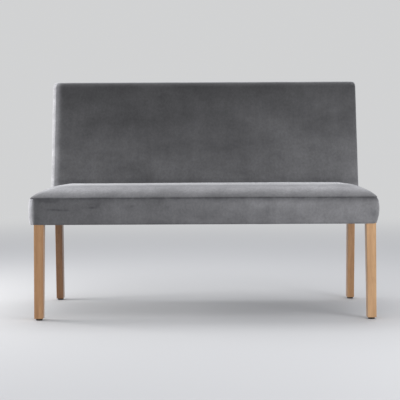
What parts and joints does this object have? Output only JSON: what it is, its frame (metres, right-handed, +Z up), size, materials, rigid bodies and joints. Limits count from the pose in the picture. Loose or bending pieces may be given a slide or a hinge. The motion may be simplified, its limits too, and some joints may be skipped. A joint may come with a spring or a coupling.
{
  "type": "upholstered dining bench",
  "caption": "Bench with a leaning padded back, a boxed and crowned velvet seat and square tapered wooden legs, for dining at a table.",
  "frame": {"origin": "on the floor, at the middle of the bench's footprint", "axes": "+Z up; +X to the right for a person facing the bench; -Y towards that person, so the front faces -Y and the back faces +Y"},
  "size_m": [1.3584, 0.5897, 0.975],
  "materials": {
    "leg_wood": "satin lacquered beech, natural colour",
    "frame_wood": "sawn, unfinished",
    "zinc_steel": "zinc plated",
    "webbing": "woven elastic strap",
    "lining_cloth": "woven burlap",
    "foam": "open cell foam",
    "wadding": "fibre wadding",
    "velvet": "grey pile velvet, lighter at grazing angles",
    "back_board": "plain fibreboard",
    "dust_cloth": "spun-bonded cloth",
    "glide_plastic": "moulded"
  },
  "bodies": {
    "root": {"front_leg_right": "leg_wood", "front_leg_left": "leg_wood", "back_leg_right": "leg_wood", "back_leg_left": "leg_wood", "front_rail": "frame_wood", "back_rail": "frame_wood", "side_rail_right": "frame_wood", "side_rail_left": "frame_wood", "seat_cross_rail_right": "frame_wood", "seat_cross_rail_left": "frame_wood", "back_top_rail": "frame_wood", "back_lower_rail": "frame_wood", "back_stile_right": "frame_wood", "back_stile_left": "frame_wood", "corner_block_front_left": "frame_wood", "corner_block_back_left": "frame_wood", "corner_block_front_right": "frame_wood", "corner_block_back_right": "frame_wood", "corner_block_screws": "zinc_steel", "leg_hanger_bolts": "zinc_steel", "leg_bolt_nuts": "zinc_steel", "leg_bolt_washers": "zinc_steel", "frame_dowels": "frame_wood", "leg_glides": "glide_plastic", "glide_nails": "zinc_steel", "seat_webbing": "webbing", "seat_webbing_staples": "zinc_steel", "seat_lining": "lining_cloth", "back_webbing": "webbing", "back_webbing_staples": "zinc_steel", "back_lining": "lining_cloth", "seat_foam": "foam", "seat_wadding": "wadding", "seat_cover_top": "velvet", "seat_cover_front_band": "velvet", "seat_cover_right_band": "velvet", "seat_cover_left_band": "velvet", "back_foam": "foam", "back_wadding": "wadding", "back_card": "back_board", "outer_back_wadding": "wadding", "backrest_cover_front": "velvet", "backrest_cover_back": "velvet", "backrest_cover_right_side": "velvet", "backrest_cover_left_side": "velvet", "dust_cover": "dust_cloth", "dust_cover_staples": "zinc_steel"}
  },
  "joints": []
}
